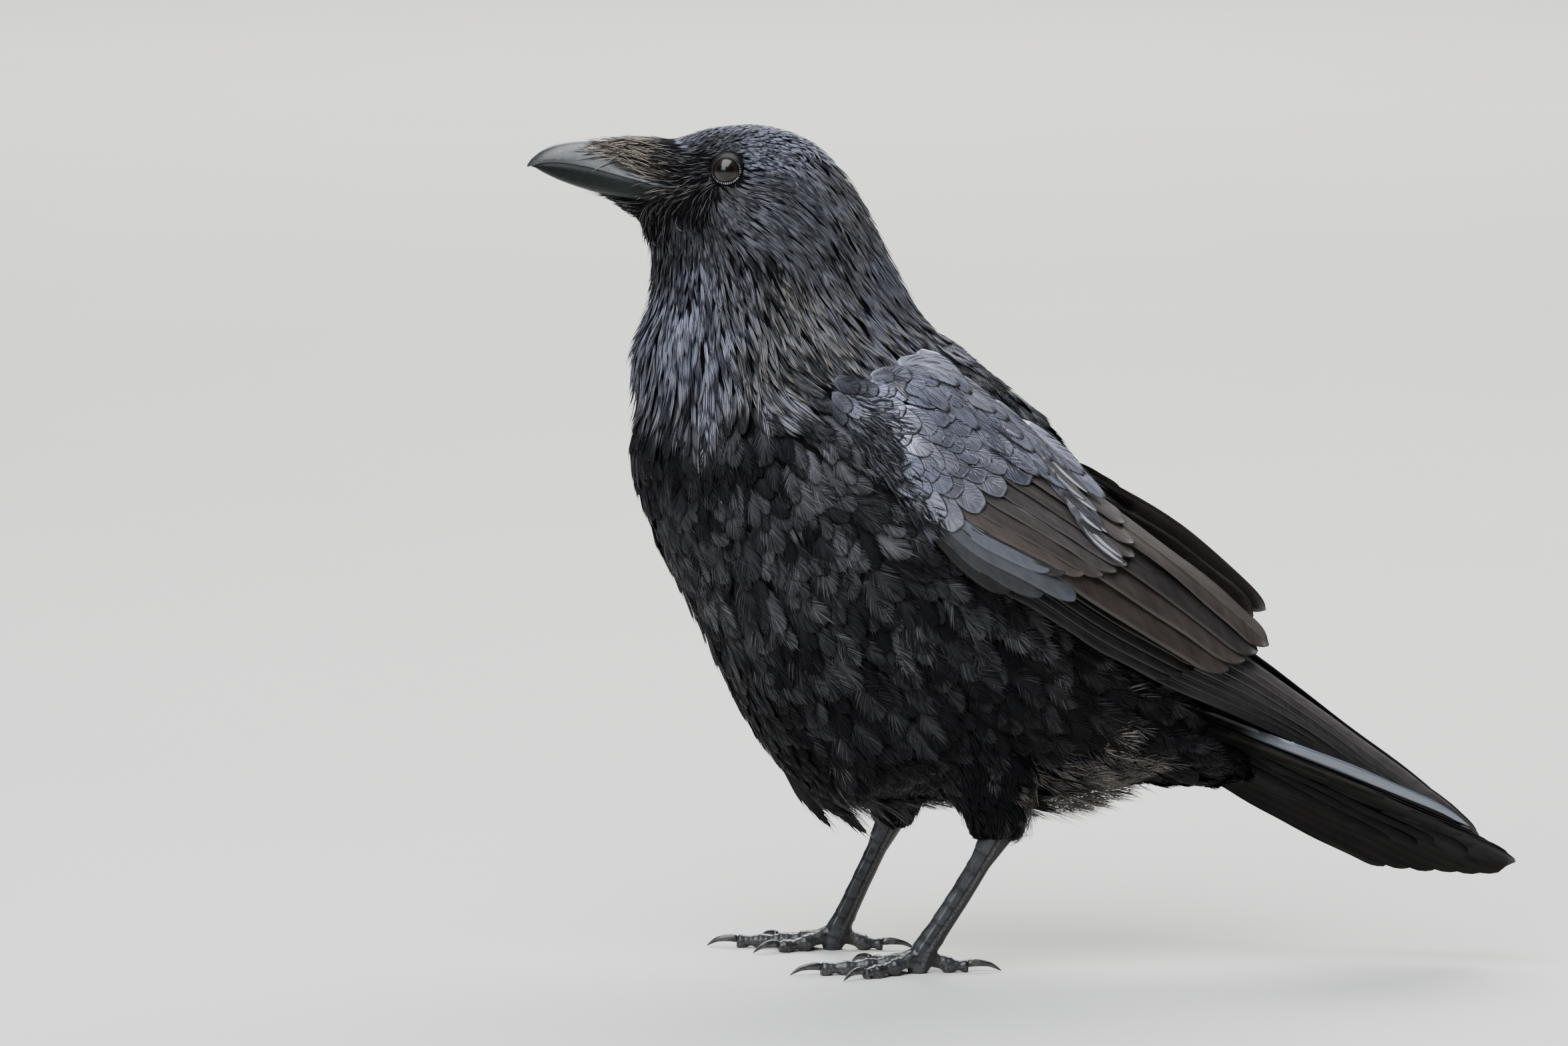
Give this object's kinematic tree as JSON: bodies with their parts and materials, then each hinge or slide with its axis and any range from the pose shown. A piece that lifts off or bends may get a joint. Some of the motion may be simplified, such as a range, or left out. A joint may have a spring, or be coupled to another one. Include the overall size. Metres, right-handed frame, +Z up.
{
  "type": "carrion crow",
  "caption": "Life-size carrion crow standing upright with its head raised, wings folded and tail twisted a little to one side.",
  "frame": {"origin": "on the floor, under the centre of the plan's bounding box", "axes": "the bird faces -X, its left side is at -Y, +Z is up"},
  "size_m": [0.3852, 0.1204, 0.3285],
  "materials": {
    "plumage": "soft black body feathers with a faint blue-violet sheen",
    "flight_feather": "satin brown-black flight feathers",
    "bill": "polished slate-black horn",
    "eye": "wet dark brown eyeball",
    "leg_scale": "glossy black scales",
    "claw": "smooth black horn"
  },
  "bodies": {
    "root": {"head": "plumage", "neck": "plumage", "bill_upper": "bill", "bill_lower": "bill", "eye_left": "eye", "eye_right": "eye", "breast": "plumage", "trunk": "plumage", "wing_coverts_left": "plumage", "alula_left": "flight_feather", "greater_coverts_left": "flight_feather", "tertials_left": "flight_feather", "secondaries_left": "flight_feather", "primaries_left": "flight_feather", "wing_coverts_right": "plumage", "alula_right": "flight_feather", "greater_coverts_right": "flight_feather", "tertials_right": "flight_feather", "secondaries_right": "flight_feather", "primaries_right": "flight_feather", "tail_feathers": "flight_feather", "uppertail_coverts": "plumage", "undertail_coverts": "plumage", "thigh_left": "plumage", "tarsus_left": "leg_scale", "toe_inner_left": "leg_scale", "claw_inner_left": "claw", "toe_middle_left": "leg_scale", "claw_middle_left": "claw", "toe_outer_left": "leg_scale", "claw_outer_left": "claw", "toe_hind_left": "leg_scale", "claw_hind_left": "claw", "thigh_right": "plumage", "tarsus_right": "leg_scale", "toe_inner_right": "leg_scale", "claw_inner_right": "claw", "toe_middle_right": "leg_scale", "claw_middle_right": "claw", "toe_outer_right": "leg_scale", "claw_outer_right": "claw", "toe_hind_right": "leg_scale", "claw_hind_right": "claw"}
  },
  "joints": []
}
